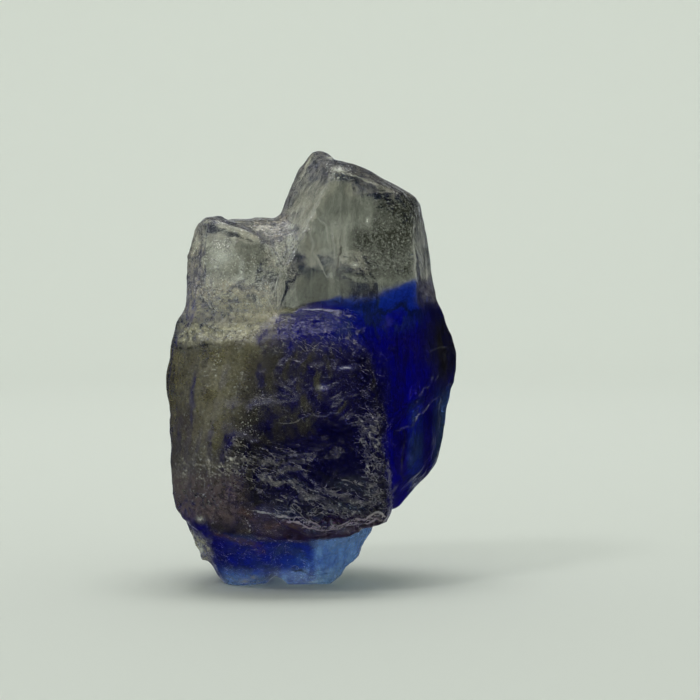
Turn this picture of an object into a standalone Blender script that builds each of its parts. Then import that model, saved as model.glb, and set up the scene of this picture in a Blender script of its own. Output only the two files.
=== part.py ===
"""Rough tanzanite crystal: a clear upper block, a left lobe, a broad front lobe and a wedge below."""

import math

import bmesh
import bpy
from mathutils import Matrix, Vector, noise

# Driving dimensions in millimetres. X is right, -Y is the front, Z is up.
HEIGHT = 21.0
HALF_WIDTH = 7.05
FRONT = -5.75
BACK = 5.4
VOXEL = 0.2
TRIANGLES = 9300
METRES_PER_MM = 0.001

# Height of the apex, the saddle, the ledge and the overhang above the resting spot.
APEX_Z = HEIGHT
SADDLE_Z = 17.6
LEDGE_Z = 11.7
OVERHANG_Z = 3.0

# Corner points of the convex blocks, each written as x, y, z.
PEAK = (
    (1.3, -2.3, 19.85),
    (4.15, -2.1, 18.75),
    (4.85, -1.9, 17.8),
    (4.95, -2.2, 14.6),
    (-0.55, -2.75, 16.5),
    (-1.3, -3.0, 13.4),
    (2.6, -3.1, 13.2),
    (1.05, -0.7, 20.5),
    (2.1, -0.6, 20.18),
    (2.8, -0.7, 19.84),
    (4.5, -0.6, 19.02),
    (4.98, -0.55, 18.72),
    (5.3, -0.5, 18.3),
    (5.28, -0.7, 17.2),
    (5.42, -0.6, 15.2),
    (6.05, -0.4, 13.2),
    (1.2, 3.0, 19.3),
    (4.2, 3.2, 18.0),
    (4.9, 2.8, 16.6),
    (5.6, 3.2, 12.6),
    (-0.9, 3.8, 16.4),
    (-1.5, 4.4, 12.5),
)
PEAK_SLAB = (
    (0.3, 0.3, APEX_Z),
    (-0.05, 0.1, 20.85),
    (0.75, 0.2, 20.85),
    (1.1, -0.9, 20.45),
    (1.0, -1.9, 19.9),
    (-0.52, 0.2, 20.2),
    (-0.8, 0.1, 19.65),
    (-1.36, -0.2, 18.5),
    (-1.56, -0.3, 17.8),
    (-1.9, -0.6, 15.8),
    (-0.75, -2.5, 16.5),
    (0.5, 2.6, 20.3),
    (-1.3, 3.2, 17.6),
    (2.0, 2.6, 19.4),
    (1.5, 2.5, 14.0),
    (-2.0, 3.2, 14.0),
)
LEFT_LOBE = (
    (-5.05, -3.2, 17.35),
    (-4.2, -3.5, 17.1),
    (-3.1, -3.6, 16.85),
    (-1.9, -3.45, 16.0),
    (-1.45, -3.3, 15.1),
    (-1.7, -3.8, 12.6),
    (-5.35, -4.2, 12.8),
    (-5.3, -1.6, 17.55),
    (-4.4, -1.8, 17.62),
    (-5.75, -1.5, 17.0),
    (-6.02, -1.8, 15.8),
    (-5.82, -2.0, 14.2),
    (-6.15, -2.2, 12.9),
    (-5.5, 2.4, 16.9),
    (-3.6, 3.0, 17.0),
    (-5.75, 3.0, 13.0),
    (-2.2, 3.2, 16.2),
    (-2.0, 0.2, 17.0),
)
SADDLE = (
    (-4.6, -1.2, 17.4),
    (-1.2, -1.0, SADDLE_Z),
    (-4.6, 1.4, SADDLE_Z),
    (-1.2, 1.8, SADDLE_Z),
    (-1.6, -2.4, 16.4),
    (-4.4, -2.6, 16.6),
    (-1.2, 2.6, 15.0),
    (-4.6, 2.6, 15.0),
    (-1.2, -2.6, 14.0),
    (-1.0, 3.6, 12.8),
    (-4.6, 3.4, 12.8),
)
BODY = (
    (-6.5, -2.0, 12.9),
    (-6.95, -1.2, 11.0),
    (-7.05, -1.4, 9.8),
    (-6.85, -1.2, 7.4),
    (-6.75, -1.0, 4.7),
    (-6.5, -0.6, 3.3),
    (1.5, -3.1, 13.4),
    (-3.0, -3.6, 12.6),
    (-5.6, 3.4, 12.6),
    (-6.1, 3.6, 8.6),
    (-5.6, 3.0, 4.2),
    (-3.4, BACK, 11.4),
    (-3.2, 5.1, 5.4),
    (1.6, BACK, 10.6),
    (1.8, 4.6, 4.6),
    (2.4, 4.6, 13.6),
    (-2.4, 4.5, 14.6),
    (-4.8, 2.4, 2.6),
    (2.4, 2.6, 3.0),
    (-4.6, -3.2, 3.6),
    (2.8, -3.0, 3.6),
    (2.9, -3.9, 8.6),
)
RIGHT_BLOCK = (
    (1.5, -3.05, 13.6),
    (4.95, -2.3, 14.5),
    (5.6, -1.3, 14.2),
    (6.35, -0.2, 13.2),
    (6.85, 0.1, 12.0),
    (7.05, 0.1, 11.0),
    (6.95, 0.3, 9.6),
    (5.75, -2.35, 10.4),
    (5.9, -1.9, 9.2),
    (3.2, -4.1, 10.0),
    (3.2, -4.1, 7.6),
    (5.2, -3.2, 9.2),
    (5.4, 3.6, 12.8),
    (6.0, 3.4, 10.0),
    (2.5, 4.8, 12.0),
    (2.5, 4.6, 8.6),
)
RIGHT_LOWER = (
    (2.8, -4.0, 9.4),
    (5.3, -2.7, 9.3),
    (6.15, -1.2, 9.3),
    (6.85, 0.3, 9.5),
    (6.75, 0.3, 8.9),
    (6.6, 0.4, 7.8),
    (6.35, 0.2, 6.8),
    (6.15, 0.1, 5.8),
    (5.75, -0.2, 5.15),
    (4.85, -0.6, 4.7),
    (4.15, -1.2, 3.6),
    (3.4, -3.6, 4.6),
    (4.6, -2.9, 5.6),
    (5.6, -1.9, 6.6),
    (5.9, 2.7, 9.7),
    (5.2, 3.5, 9.6),
    (2.0, 4.9, 9.2),
    (5.0, 3.3, 8.2),
    (4.6, 2.8, 6.0),
    (1.5, 4.5, 5.4),
    (2.4, 3.0, 3.4),
    (2.6, -3.0, 3.4),
)
FRONT_LOBE = (
    (-6.55, -3.0, 11.8),
    (-5.2, -4.55, 11.75),
    (-2.8, -5.0, LEDGE_Z),
    (-0.6, -4.9, 12.0),
    (1.3, -4.3, 12.3),
    (2.45, -4.2, 11.3),
    (-6.9, -3.2, 9.4),
    (-6.68, -3.1, 5.2),
    (-6.55, -2.4, 3.9),
    (-5.4, -5.0, 8.8),
    (-3.6, -5.6, 7.2),
    (-0.4, FRONT, 8.2),
    (1.8, -5.45, 8.0),
    (3.0, -4.75, 8.2),
    (3.5, -4.55, 5.3),
    (3.5, -4.1, 3.8),
    (1.4, -5.2, 3.7),
    (-1.0, -5.35, 3.4),
    (-3.4, -5.1, 3.8),
    (-5.2, -4.4, 3.9),
    (-0.6, -4.6, 2.35),
    (1.6, -4.2, 2.6),
    (3.35, -3.0, OVERHANG_Z + 0.3),
    (-2.6, -4.4, 2.8),
    (-5.8, -2.8, OVERHANG_Z),
    (-5.5, -4.0, 12.75),
    (-1.8, -4.0, 12.95),
    (1.4, -3.4, 13.05),
    (-5.8, -0.6, 12.9),
    (1.9, -0.6, 12.6),
    (3.95, -1.6, 3.75),
    (-6.45, -0.8, 3.4),
)
WEDGE_LEFT = (
    (-6.4, -1.0, 3.4),
    (-6.2, -1.0, 2.8),
    (-5.95, -0.8, 2.2),
    (-5.3, -1.0, 1.25),
    (-4.75, -1.1, 0.6),
    (-4.3, -1.3, 0.0),
    (-3.4, -0.9, -0.3),
    (-2.2, -1.2, 0.0),
    (-1.7, -1.6, 0.4),
    (-3.4, -1.7, -0.1),
    (-5.6, -3.6, 4.4),
    (-4.4, -4.75, 4.2),
    (-3.2, -4.5, 2.9),
    (-4.9, -3.5, 2.4),
    (-1.0, -3.9, 3.2),
    (-2.2, -3.1, 1.1),
    (-4.0, -3.0, 1.1),
    (-4.2, 2.2, 0.0),
    (-2.4, 2.6, 0.0),
    (-3.3, 2.1, -0.25),
    (-5.3, 2.6, 3.4),
    (-1.2, 3.4, 3.4),
)
WEDGE_RIGHT = (
    (-2.4, -1.9, 3.0),
    (-2.0, -1.4, 0.5),
    (-1.3, -1.5, 0.0),
    (-0.2, -1.2, -0.15),
    (0.9, -1.3, 0.0),
    (1.4, -1.1, 0.35),
    (1.95, -1.0, 0.95),
    (2.4, -0.9, 1.5),
    (2.62, -0.8, 2.1),
    (3.0, -0.7, 2.8),
    (3.1, -0.8, 3.8),
    (-1.6, -3.6, 3.0),
    (0.2, -3.6, 3.0),
    (1.9, -3.1, 3.2),
    (0.2, -2.6, 1.0),
    (-1.4, 2.4, 0.0),
    (0.8, 2.2, 0.0),
    (-0.2, 2.2, -0.12),
    (2.0, 2.4, 1.6),
    (2.7, 2.2, 3.4),
    (0.4, 3.4, 2.2),
    (-2.2, 3.4, 2.4),
)
FLAKE = (
    (-5.85, -1.3, 2.9),
    (-5.85, -1.25, 1.75),
    (-5.45, -1.4, 1.05),
    (-5.0, -1.55, 1.0),
    (-5.1, -1.9, 2.0),
    (-5.5, -1.8, 2.8),
    (-5.3, -0.4, 2.9),
    (-5.1, -0.4, 1.2),
    (-4.4, -1.4, 2.2),
)
VALLEY = (
    (-2.5, -3.0, 16.2),
    (-0.3, -2.2, 17.2),
    (-0.9, -2.7, 15.0),
    (-2.2, -3.2, 14.5),
    (-1.0, -3.3, 12.8),
    (-2.4, -3.7, 12.6),
    (-2.4, 2.0, 16.2),
    (-0.3, 2.0, 17.2),
    (-1.0, 2.0, 12.6),
)
BACK_STEP = (
    (-1.6, 4.4, 15.2),
    (1.9, 4.1, 15.0),
    (2.2, 5.0, 12.4),
    (2.3, 5.1, 6.6),
    (0.6, 5.75, 8.6),
    (-1.2, 5.75, 12.2),
    (-1.5, 5.4, 6.4),
    (-1.8, 4.6, 14.2),
    (-1.4, 2.0, 14.8),
    (2.0, 2.0, 6.4),
    (-1.4, 2.0, 6.4),
)
BACK_PLATE = (
    (-5.6, 3.5, 11.6),
    (-5.2, 4.2, 11.0),
    (-3.0, 5.3, 10.4),
    (-3.2, 5.2, 4.8),
    (-5.3, 3.9, 5.2),
    (-4.8, 2.6, 4.0),
    (-2.6, 4.6, 3.6),
    (-2.6, 2.0, 10.8),
)
BLOCKS = (
    PEAK,
    PEAK_SLAB,
    LEFT_LOBE,
    SADDLE,
    VALLEY,
    RIGHT_BLOCK,
    RIGHT_LOWER,
    FRONT_LOBE,
    WEDGE_LEFT,
    WEDGE_RIGHT,
    FLAKE,
    BACK_STEP,
    BACK_PLATE,
)


def clear_scene():
    for obj in list(bpy.data.objects):
        bpy.data.objects.remove(obj, do_unlink=True)


def hull_object(name, corners, collection):
    """A closed convex block through its outermost corner points."""
    mesh = bpy.data.meshes.new(name)
    shape = bmesh.new()
    for corner in corners:
        shape.verts.new(corner)
    result = bmesh.ops.convex_hull(shape, input=shape.verts)
    inner = [v for v in result["geom_interior"] if isinstance(v, bmesh.types.BMVert)]
    unused = [v for v in result["geom_unused"] if isinstance(v, bmesh.types.BMVert)]
    bmesh.ops.delete(shape, geom=list(set(inner + unused)), context="VERTS")
    bmesh.ops.recalc_face_normals(shape, faces=shape.faces)
    shape.to_mesh(mesh)
    shape.free()
    obj = bpy.data.objects.new(name, mesh)
    collection.objects.link(obj)
    return obj


def evaluated_mesh(obj):
    """The object's mesh with its modifiers worked in."""
    bpy.context.view_layer.update()
    graph = bpy.context.evaluated_depsgraph_get()
    return bpy.data.meshes.new_from_object(obj.evaluated_get(graph))


def joined_blocks(collection):
    """All blocks made into one evenly meshed solid."""
    body = hull_object("body_block", BODY, collection)
    for number, corners in enumerate(BLOCKS):
        block = hull_object("block_%02d" % number, corners, collection)
        union = body.modifiers.new("union_%02d" % number, "BOOLEAN")
        union.operation = "UNION"
        union.solver = "EXACT"
        union.object = block
    even = body.modifiers.new("even", "REMESH")
    even.mode = "VOXEL"
    even.voxel_size = VOXEL
    return evaluated_mesh(body)


def fade(value, low, high):
    """0 below low, 1 above high, smooth between."""
    share = min(max((value - low) / (high - low), 0.0), 1.0)
    return share * share * (3.0 - 2.0 * share)


def bump_at(point, centre, radii):
    """1 at the centre, falling to 0 over the radii."""
    total = 0.0
    for value, middle, radius in zip(point, centre, radii):
        total += ((value - middle) / radius) ** 2
    return math.exp(-total)


def distance_to_line(x, z, line):
    """Distance in the front view from a point to a chain of points."""
    best = 1e9
    for (x0, z0), (x1, z1) in zip(line, line[1:]):
        length_squared = (x1 - x0) ** 2 + (z1 - z0) ** 2
        along = ((x - x0) * (x1 - x0) + (z - z0) * (z1 - z0)) / length_squared
        along = min(max(along, 0.0), 1.0)
        best = min(best, math.hypot(x - x0 - along * (x1 - x0), z - z0 - along * (z1 - z0)))
    return best


def ridge(x, z, line, width):
    """A rounded crest that follows a chain of points."""
    return math.exp(-((distance_to_line(x, z, line) / width) ** 2))


def ripples(point, direction, spacing, wander):
    """Shell-like fracture ripples: sharp crests with wide troughs."""
    shift = wander * noise.noise(point * 0.35 + Vector((7.1, 3.3, 1.9)))
    phase = (point.dot(direction) + shift) / spacing
    return 1.0 - abs(math.sin(math.pi * phase)) * 1.6


def terraces(point, direction, spacing, wander):
    """Broken steps: each rises slowly and then drops off short."""
    shift = wander * noise.noise(point * 0.45 + Vector((2.7, 8.8, 4.1)))
    share = ((point.dot(direction) + shift) / spacing) % 1.0
    return 2.0 * min(share / 0.62, (1.0 - share) / 0.38) - 1.0


# Crests seen on the front, as x and z points.
LOBE_RIGHT_EDGE = ((2.4, 12.0), (2.75, 9.6), (3.3, 7.2), (3.6, 5.2), (3.5, 3.4))
LOBE_TOP_EDGE = ((-6.4, 11.6), (-4.6, 11.75), (-2.6, 11.55), (-1.0, 11.9), (1.2, 12.2))
LOBE_FOOT = ((-6.0, 3.5), (-4.2, 3.3), (-2.4, 3.0), (-0.8, 2.7), (1.4, 2.9), (3.8, 3.6))
WAVE_A = ((-3.4, 7.3), (-1.8, 6.5), (-0.2, 6.1), (1.4, 5.0), (3.0, 4.4))
WAVE_B = ((-2.2, 5.6), (-0.6, 5.2), (0.8, 4.2), (2.4, 3.9))
WAVE_C = ((-3.8, 8.7), (-2.2, 8.6), (-0.6, 8.9))
SHOULDER_RIDGE = ((-5.0, 17.4), (-3.2, 16.9), (-1.9, 16.1), (-1.4, 15.1))
PEAK_RIDGE = ((1.2, 20.0), (0.2, 18.4), (-0.7, 16.4))
FRONT_CRESTS = (
    (LOBE_RIGHT_EDGE, 0.3, 0.16, -2.8),
    (LOBE_TOP_EDGE, 0.28, 0.14, -3.4),
    (LOBE_FOOT, 0.28, 0.16, -2.8),
    (WAVE_A, 0.3, 0.26, -3.6),
    (WAVE_B, 0.28, 0.22, -3.6),
    (WAVE_C, 0.3, 0.14, -3.6),
    (SHOULDER_RIDGE, 0.22, 0.12, -2.0),
    (PEAK_RIDGE, 0.22, 0.1, -1.2),
)
# Hollows and lumps: centre, radii and height along the surface normal.
SPOTS = (
    ((0.35, -5.6, 7.6), (0.95, 1.2, 0.8), -0.55),
    ((-1.2, -5.5, 7.0), (0.8, 1.2, 0.5), -0.25),
    ((0.6, -5.4, 9.75), (0.3, 0.9, 0.25), -0.3),
    ((0.7, -5.3, 10.45), (0.65, 0.9, 0.2), 0.2),
    ((-3.6, -3.9, 15.9), (0.6, 0.9, 0.45), 0.18),
    ((-2.9, -3.9, 15.2), (0.25, 0.9, 0.7), 0.14),
    ((6.1, -1.3, 8.9), (0.6, 0.9, 0.35), 0.15),
    ((1.6, 5.4, 9.5), (1.4, 0.9, 1.8), -0.35),
    ((-4.4, 4.2, 8.4), (0.9, 1.2, 1.6), -0.3),
    ((3.6, 4.2, 11.0), (1.0, 1.2, 1.3), -0.3),
    ((-5.6, -2.0, 2.2), (0.4, 0.9, 0.7), 0.15),
)


def lobe_share(point):
    """How far a point belongs to the broken front lobe."""
    across = fade(-point.y, 3.2, 4.2) * fade(3.9 - point.x, 0.0, 0.6)
    return across * fade(point.z, 2.4, 3.0) * fade(12.6 - point.z, 0.0, 0.8)


def flat_share(point):
    """How far a point belongs to the crystal faces that stayed smooth."""
    upper = fade(point.z, 13.4, 14.6) * fade(point.x, -2.0, -1.0)
    right = fade(point.x, 3.4, 4.2) * fade(point.z, 4.0, 5.0)
    return max(upper, right)


def relief(point, normal):
    """Height in millimetres to add along the surface normal."""
    rough = 1.0 - 0.6 * flat_share(point)
    height = 0.14 * noise.noise(point * 0.42) + 0.08 * rough * noise.noise(point * 1.15)
    height += 0.045 * rough * rough * noise.noise(point * 2.4 + Vector((5.0, 1.0, 9.0)))
    facing_front = fade(-normal.y, 0.0, 0.35)
    for line, width, crest, limit in FRONT_CRESTS:
        if point.y < limit:
            height += facing_front * crest * ridge(point.x, point.z, line, width)
    for centre, radii, rise in SPOTS:
        height += rise * bump_at(point, centre, radii)
    broken = lobe_share(point)
    right_part = fade(point.x, -3.6, -2.0) * fade(10.6 - point.z, 0.0, 2.5)
    waves = terraces(point, Vector((-0.42, -0.1, -0.9)), 1.3, 1.9)
    height += 0.14 * broken * right_part * waves
    upright = ripples(point, Vector((0.97, 0.2, -0.12)), 0.8, 1.2)
    height += 0.055 * broken * (1.0 - right_part) * upright
    back_share = fade(point.y, 2.6, 4.0) * fade(point.z, 3.0, 4.5)
    height += 0.07 * back_share * ripples(point, Vector((1.0, 0.1, 0.06)), 1.1, 0.6)
    foot = fade(2.6 - point.z, 0.0, 0.6) * fade(point.z, 0.1, 0.7)
    height += 0.08 * foot * ripples(point, Vector((0.85, 0.2, 0.4)), 0.75, 1.0)
    return height * fade(point.z, -0.2, 0.3)


def weather(mesh):
    """Moves the points of the even mesh out and in by the relief."""
    targets = []
    for vertex in mesh.vertices:
        point = vertex.co.copy()
        normal = vertex.normal.copy()
        targets.append(point + normal * relief(point, normal))
    for vertex, target in zip(mesh.vertices, targets):
        vertex.co = target


def thinned(mesh, collection):
    """The same shape with fewer triangles."""
    helper = bpy.data.objects.new("helper", mesh)
    collection.objects.link(helper)
    split = helper.modifiers.new("split", "TRIANGULATE")
    split.quad_method = "BEAUTY"
    thin = helper.modifiers.new("thin", "DECIMATE")
    mesh.calc_loop_triangles()
    thin.ratio = TRIANGLES / len(mesh.loop_triangles)
    return evaluated_mesh(helper)


def connected_points(start):
    """Every point that edges join to this one."""
    found = {start}
    waiting = [start]
    while waiting:
        for edge in waiting.pop().link_edges:
            for vertex in edge.verts:
                if vertex not in found:
                    found.add(vertex)
                    waiting.append(vertex)
    return found


def keep_largest(mesh):
    """Removes specks that the even meshing leaves loose."""
    shape = bmesh.new()
    shape.from_mesh(mesh)
    left = set(shape.verts)
    pieces = []
    while left:
        piece = connected_points(next(iter(left)))
        pieces.append(piece)
        left -= piece
    pieces.sort(key=len)
    specks = [vertex for piece in pieces[:-1] for vertex in piece]
    bmesh.ops.delete(shape, geom=specks, context="VERTS")
    shape.to_mesh(mesh)
    shape.free()


def flatten_foot(mesh):
    """Cuts the underside level so that the stone has a flat spot to stand on."""
    shape = bmesh.new()
    shape.from_mesh(mesh)
    everything = list(shape.verts) + list(shape.edges) + list(shape.faces)
    bmesh.ops.bisect_plane(
        shape,
        geom=everything,
        dist=1e-5,
        plane_co=(0.0, 0.0, 0.0),
        plane_no=(0.0, 0.0, -1.0),
        clear_outer=True,
    )
    rim = [edge for edge in shape.edges if edge.is_boundary]
    bmesh.ops.holes_fill(shape, edges=rim, sides=0)
    bmesh.ops.triangulate(shape, faces=shape.faces)
    bmesh.ops.recalc_face_normals(shape, faces=shape.faces)
    shape.to_mesh(mesh)
    shape.free()


def stretch_to_size(mesh):
    """Sets the exact height and width, and centres the box above the origin."""
    xs = [vertex.co.x for vertex in mesh.vertices]
    ys = [vertex.co.y for vertex in mesh.vertices]
    zs = [vertex.co.z for vertex in mesh.vertices]
    wide = 2.0 * HALF_WIDTH / (max(xs) - min(xs))
    tall = HEIGHT / max(zs)
    shift = Vector((-(max(xs) + min(xs)) / 2.0, -(max(ys) + min(ys)) / 2.0, 0.0))
    size = Matrix.Diagonal((wide, wide, tall, 1.0))
    mesh.transform(Matrix.Scale(METRES_PER_MM, 4) @ size @ Matrix.Translation(shift))


def stone_material():
    """See-through deep blue crystal."""
    material = bpy.data.materials.new("tanzanite_crystal")
    material.use_nodes = True
    shader = material.node_tree.nodes["Principled BSDF"]
    shader.inputs["Base Color"].default_value = (0.045, 0.06, 0.32, 1.0)
    shader.inputs["Roughness"].default_value = 0.18
    shader.inputs["IOR"].default_value = 1.69
    shader.inputs["Transmission Weight"].default_value = 0.6
    return material


def main():
    clear_scene()
    collection = bpy.data.collections.new("rough_tanzanite")
    bpy.context.scene.collection.children.link(collection)
    helpers = bpy.data.collections.new("helpers")
    bpy.context.scene.collection.children.link(helpers)

    mesh = joined_blocks(helpers)
    keep_largest(mesh)
    weather(mesh)
    mesh = thinned(mesh, helpers)
    flatten_foot(mesh)
    stretch_to_size(mesh)
    for helper in list(helpers.objects):
        bpy.data.objects.remove(helper, do_unlink=True)
    bpy.data.collections.remove(helpers)

    mesh.name = "tanzanite"
    mesh.materials.clear()
    mesh.materials.append(stone_material())
    mesh.polygons.foreach_set("use_smooth", [True] * len(mesh.polygons))
    mesh.set_sharp_from_angle(angle=math.radians(28.0))
    stone = bpy.data.objects.new("tanzanite", mesh)
    collection.objects.link(stone)


main()
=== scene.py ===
"""Visual model of the rough tanzanite crystal, with its finely broken surfaces and colour zones."""

import math

import bmesh
import bpy
import numpy as np
from mathutils import Matrix, Vector, noise


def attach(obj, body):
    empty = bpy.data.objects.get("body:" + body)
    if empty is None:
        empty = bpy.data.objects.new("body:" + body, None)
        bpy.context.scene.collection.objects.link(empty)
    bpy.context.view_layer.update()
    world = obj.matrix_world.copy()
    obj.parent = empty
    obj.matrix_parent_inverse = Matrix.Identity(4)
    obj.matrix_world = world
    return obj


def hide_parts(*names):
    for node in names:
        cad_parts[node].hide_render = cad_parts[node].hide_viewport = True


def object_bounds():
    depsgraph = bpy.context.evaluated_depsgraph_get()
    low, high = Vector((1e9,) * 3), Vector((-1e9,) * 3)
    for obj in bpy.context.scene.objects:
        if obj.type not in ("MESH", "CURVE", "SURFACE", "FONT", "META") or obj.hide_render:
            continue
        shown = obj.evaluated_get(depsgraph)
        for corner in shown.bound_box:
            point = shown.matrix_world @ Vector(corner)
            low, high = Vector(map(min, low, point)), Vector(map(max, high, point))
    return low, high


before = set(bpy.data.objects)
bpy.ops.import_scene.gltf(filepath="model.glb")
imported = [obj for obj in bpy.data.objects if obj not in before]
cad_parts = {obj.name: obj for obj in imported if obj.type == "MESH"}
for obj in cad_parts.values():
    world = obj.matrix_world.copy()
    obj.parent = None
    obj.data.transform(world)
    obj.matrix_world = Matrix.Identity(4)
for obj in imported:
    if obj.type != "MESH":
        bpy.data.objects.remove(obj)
CAD_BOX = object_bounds()

# Lengths are in millimetres until the mesh is finished.
MM = 0.001
VOXEL = 0.108
SMOOTH_ROUNDS = 1
WEAR_ROUNDS = 120
OUTSIDE_CAD = 0.05
NO_DISTANCE = 9.0

# The view of the photograph: how wide the picture is at the stone, and its centre.
PICTURE_WIDTH = 34.15
PICTURE_CENTRE = (1.83, 11.27)
CAMERA_TILT = 2.0
LENS = 100.0
SENSOR_WIDTH = 36.0

# The crystal's glass, from the values of tanzanite and what the photograph shows.
IOR = 1.69
ABSORPTION = (0.7, 0.74, 0.9, 1.0)
ABSORPTION_DENSITY = 50.0
BUMP_STRENGTH = 0.6
BUMP_DISTANCE = 0.00008

# The studio, in metres: a round floor that curves up into a wall, and black cards around it.
FLOOR_RADIUS = 0.2
FLOOR_DROP = 0.00002
CURVE_RADIUS = 0.14
CURVE_STEPS = 12
WALL_HEIGHT = 0.45
SPIN_STEPS = 96
CARD_RADIUS = 0.3
OPEN_BEHIND = 0.268


def fade(value, low, high):
    """0 below low, 1 above high, smooth between. Works on whole arrays."""
    share = np.clip((value - low) / (high - low), 0.0, 1.0)
    return share * share * (3.0 - 2.0 * share)


def chain_distance(points, line):
    """Distance in the front view from each point to a chain of x, z points."""
    flat = points[:, [0, 2]]
    best = np.full(len(points), 1e9)
    for start, end in zip(line, line[1:]):
        start = np.array(start)
        run = np.array(end) - start
        along = np.clip(((flat - start) @ run) / (run @ run), 0.0, 1.0)
        best = np.minimum(best, np.linalg.norm(flat - start - along[:, None] * run, axis=1))
    return best


def grain(points, scale, shift=(0.0, 0.0, 0.0)):
    """Smooth noise from -1 to 1. The scale can differ along each axis."""
    places = points * np.array(scale) + np.array(shift)
    return np.array([noise.noise(Vector(place)) for place in places])


def rough_grain(points, scale, octaves, shift=(0.0, 0.0, 0.0)):
    """Noise with finer noise added on top."""
    total = np.zeros(len(points))
    weight = 1.0
    factor = 1.0
    for _ in range(octaves):
        total += weight * grain(points, np.array(scale) * factor, shift)
        weight *= 0.5
        factor *= 2.03
    return total


def ridged(points, direction, spacing, wander, wander_scale, shift):
    """Sharp crests across a direction, bent by noise: 1 on a crest, 0 in a trough."""
    bend = wander * grain(points, (wander_scale,) * 3, shift)
    phase = (points @ np.array(direction) + bend) / spacing
    return 1.0 - np.abs(np.sin(math.pi * phase))


# Lines and spots seen on the front, as x and z points.
LOBE_RIGHT_EDGE = (
    (2.35, 12.0), (2.3, 10.8), (2.3, 8.9), (2.9, 8.6),
    (3.1, 7.7), (3.4, 6.4), (3.73, 5.1), (3.6, 3.85),
)
LOBE_FOOT = ((-3.4, 3.5), (-2.2, 3.2), (-0.6, 2.9), (1.4, 3.1), (3.8, 3.6))
LIP_LINES = (
    ((-2.4, 3.95), (-1.2, 3.7), (0.4, 3.46), (1.3, 3.41), (2.3, 3.56), (3.4, 3.66)),
    ((-1.2, 3.4), (0.4, 3.2), (1.4, 3.2), (2.4, 3.35), (3.3, 3.4)),
)
# How strong each facet edge's painted highlight shows, and where it runs; the relief also steps
# along these lines. The first is the main ridge.
FACET_EDGE_HIGHLIGHTS = (
    (0.75, ((1.2, 20.0), (0.75, 19.1), (0.2, 18.2), (-0.2, 17.2), (-0.9, 16.2))),
    (0.95, (
        (-4.95, 17.5), (-3.6, 17.27), (-2.6, 16.8), (-1.88, 16.2), (-1.68, 15.7), (-1.3, 15.1),
    )),
    (0.45, ((-0.02, 17.0), (0.1, 16.2), (0.35, 15.5), (0.85, 14.9))),
    (0.8, ((-0.02, 17.0), (-0.7, 16.1), (-1.44, 15.2), (-1.68, 13.9))),
    (0.7, ((0.4, 17.4), (0.9, 16.9), (1.1, 16.1))),
    (0.25, ((3.0, 15.9), (3.9, 15.6), (4.7, 15.7))),
    (0.2, ((2.6, 15.2), (3.4, 15.3), (4.4, 14.7))),
    (0.3, ((-1.4, 8.1), (-0.5, 8.5), (0.5, 8.35), (1.3, 8.4), (1.9, 8.0))),
    (0.35, ((-2.4, 2.6), (-1.2, 2.55), (0.3, 2.45), (1.3, 2.9), (2.3, 3.05))),
    (0.9, ((1.5, 19.6), (3.4, 19.35), (4.4, 18.9), (5.0, 18.3))),
    (0.7, ((1.3, 20.3), (2.2, 20.2), (3.2, 19.8))),
    (0.9, ((-4.93, 17.4), (-5.05, 15.9), (-4.9, 14.6), (-4.6, 13.6))),
    (0.8, ((4.85, 18.0), (4.9, 16.2), (5.1, 14.6))),
    (0.2, ((5.7, 11.3), (6.4, 11.35))),
    (0.32, ((6.75, 9.5), (6.2, 9.15), (5.6, 8.75), (4.85, 7.95), (4.2, 7.6))),
    (0.28, ((6.1, 10.1), (5.4, 9.6), (5.0, 8.9))),
    (0.9, ((6.4, 6.1), (6.1, 5.6), (5.5, 5.2), (4.95, 4.8))),
)
# How dark each facet of the clear parts is, and its corners.
SHADED_FACES = (
    (0.6, ((-4.9, 16.4), (-3.7, 16.4), (-3.6, 17.2), (-4.9, 17.4))),
    (0.9, ((-3.6, 16.2), (-2.9, 15.2), (-1.75, 15.3), (-1.85, 16.1), (-3.5, 17.1))),
    (0.55, ((-1.44, 15.2), (-1.68, 13.4), (0.76, 13.4), (0.83, 14.9), (-0.02, 17.0))),
    (0.6, ((2.9, 16.6), (5.0, 16.2), (4.9, 19.0), (3.0, 19.2))),
    (0.7, ((1.7, 14.9), (4.8, 14.7), (4.7, 16.8), (1.9, 17.1))),
    (0.5, ((1.2, 19.6), (3.3, 19.4), (3.2, 20.2), (1.4, 20.4))),
)
TOP_BEVEL = ((1.5, 19.7), (4.7, 18.6), (5.3, 18.5), (4.4, 19.4), (1.6, 20.6))
BLOCK_FACET = ((1.0, 15.2), (1.67, 15.6), (1.8, 17.4), (1.0, 17.5), (0.25, 16.9))
# Place and half size of each painted highlight.
GLINTS = (
    (-4.2, 15.75, 0.4, 0.28), (-4.45, 15.3, 0.2, 0.1), (-3.24, 15.05, 0.11, 0.6),
    (-3.3, 14.75, 0.25, 0.1), (2.07, 15.4, 0.16, 0.1), (2.66, 17.5, 0.08, 0.16),
    (0.9, 14.9, 0.12, 0.1), (0.93, 20.6, 0.28, 0.14), (1.3, 19.95, 0.45, 0.22),
    (-1.0, 17.25, 0.28, 0.2), (-1.0, 16.5, 0.25, 0.7), (-5.2, 3.46, 0.16, 0.14),
    (0.56, 9.7, 0.2, 0.1), (-5.35, 1.8, 0.14, 0.4), (-3.2, 0.25, 0.22, 0.12),
    (-2.8, 0.5, 0.14, 0.1), (1.6, 10.6, 0.3, 0.06),
)
DARK_LINES = (
    ((-2.5, 13.9), (-1.6, 12.8)),
    ((-6.4, 11.5), (-5.4, 11.6), (-4.5, 11.65)),
    ((1.44, 16.4), (1.44, 15.3)),
    ((3.95, 19.1), (4.0, 18.0)),
    ((4.35, 19.0), (4.4, 18.2)),
    ((-1.0, 18.9), (-1.25, 17.6)),
    ((-1.15, 16.2), (-1.25, 15.8)),
    ((4.3, 7.7), (4.35, 5.3)),
    ((-0.9, 0.9), (0.2, 0.55), (1.0, 0.7)),
)
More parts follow.
